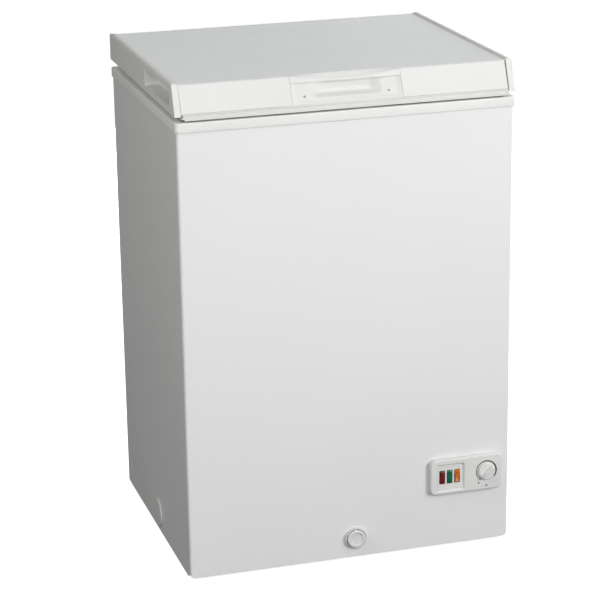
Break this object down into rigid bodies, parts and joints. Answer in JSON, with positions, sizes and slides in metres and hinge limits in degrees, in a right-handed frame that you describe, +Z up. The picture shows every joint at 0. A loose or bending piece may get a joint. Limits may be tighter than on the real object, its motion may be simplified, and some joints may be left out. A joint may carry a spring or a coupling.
{
  "type": "chest freezer",
  "caption": "Small white chest freezer with a lift-up lid, scooped lid handle, hand grips, drain cap, and a control panel with lamps, rocker switch and thermostat knob.",
  "frame": {"origin": "on the floor, under the middle of the whole freezer's bounding box", "axes": "+Z up; -Y out of the front, where the control panel is; +X to the right of someone who stands in front and looks at it"},
  "size_m": [0.578, 0.512, 0.85],
  "materials": {
    "white_enamel": "gloss",
    "white_plastic": "satin",
    "warm_plastic": "satin",
    "lid_sheet": "satin",
    "liner_sheet": "satin",
    "galvanized_steel": "satin",
    "black_steel": "satin",
    "copper": "polished",
    "aluminium_tube": "satin",
    "insulation": "matte",
    "gray_rubber": "matte",
    "black_plastic": "matte",
    "red_lens": "gloss",
    "green_lens": "gloss",
    "orange_plastic": "gloss",
    "coated_wire": "satin",
    "zinc_plate": "satin"
  },
  "bodies": {
    "cabinet": {"front_panel": "white_enamel", "rear_panel": "white_enamel", "left_side_panel": "white_enamel", "right_side_panel": "white_enamel", "base_pan": "galvanized_steel", "compressor_cover": "galvanized_steel", "top_collar": "warm_plastic", "inner_liner": "liner_sheet", "cabinet_foam": "insulation", "evaporator_coil": "aluminium_tube", "condenser_coil": "copper", "suction_pipe": "copper", "discharge_pipe": "copper", "filter_drier": "copper", "foot_front_left": "black_plastic", "foot_front_right": "black_plastic", "foot_rear_left": "black_plastic", "foot_rear_right": "black_plastic", "relay_cover": "black_plastic", "cable_gland": "black_plastic", "control_housing": "black_plastic", "left_port_plug": "white_plastic", "right_port_plug": "white_plastic", "drain_socket": "white_plastic", "drain_tube": "white_plastic", "control_bezel": "white_plastic", "indicator_carrier": "white_plastic", "compressor": "black_steel", "compressor_grommet_front_left": "gray_rubber", "compressor_grommet_front_right": "gray_rubber", "compressor_grommet_rear_left": "gray_rubber", "compressor_grommet_rear_right": "gray_rubber", "red_lamp_lens": "red_lens", "green_lamp_lens": "green_lens", "thermostat_body": "zinc_plate", "hinge_bracket_left": "zinc_plate", "hinge_bracket_right": "zinc_plate", "hinge_pin_left": "zinc_plate", "hinge_pin_right": "zinc_plate"},
    "lid": {"lid_foam": "insulation", "lid_end_cap_left": "white_plastic", "lid_end_cap_right": "white_plastic", "lid_front_fascia_left": "white_plastic", "lid_front_fascia_right": "white_plastic", "lid_handle": "white_plastic", "lid_frame": "white_plastic", "lid_rear_rail": "white_plastic", "lid_inner_liner": "white_plastic", "lid_gasket": "gray_rubber", "handle_screw_left": "zinc_plate", "handle_screw_right": "zinc_plate", "hinge_leaf_left": "zinc_plate", "hinge_leaf_right": "zinc_plate", "lid_top_panel": "lid_sheet"},
    "thermostat_knob": {"thermostat_knob": "white_plastic", "thermostat_shaft": "zinc_plate"},
    "fast_freeze_rocker": {"fast_freeze_rocker": "orange_plastic"},
    "drain_cap": {"drain_cap": "white_plastic"},
    "drain_stopper": {"drain_stopper": "gray_rubber"},
    "basket": {"basket": "coated_wire"}
  },
  "joints": [
    {"name": "lid_hinge", "type": "hinge", "parent": "cabinet", "child": "lid", "pos_m": [0, 0.248, 0.793], "axis": [-1, 0, 0], "range_deg": [0, 80]},
    {"name": "thermostat_turn", "type": "hinge", "parent": "cabinet", "child": "thermostat_knob", "pos_m": [0.2408, -0.25, 0.139], "axis": [0, 1, 0], "range_deg": [0, 270]},
    {"name": "fast_freeze_rock", "type": "hinge", "parent": "cabinet", "child": "fast_freeze_rocker", "pos_m": [0.188, -0.238, 0.1355], "axis": [-1, 0, 0], "range_deg": [0, 12]},
    {"name": "drain_cap_pull", "type": "slide", "parent": "cabinet", "child": "drain_cap", "axis": [0, -1, 0], "range_m": [0, 0.03]},
    {"name": "drain_stopper_lift", "type": "slide", "parent": "cabinet", "child": "drain_stopper", "axis": [0, 0, 1], "range_m": [0, 0.03]},
    {"name": "basket_slide", "type": "slide", "parent": "cabinet", "child": "basket", "axis": [1, 0, 0], "range_m": [0, 0.244]}
  ]
}
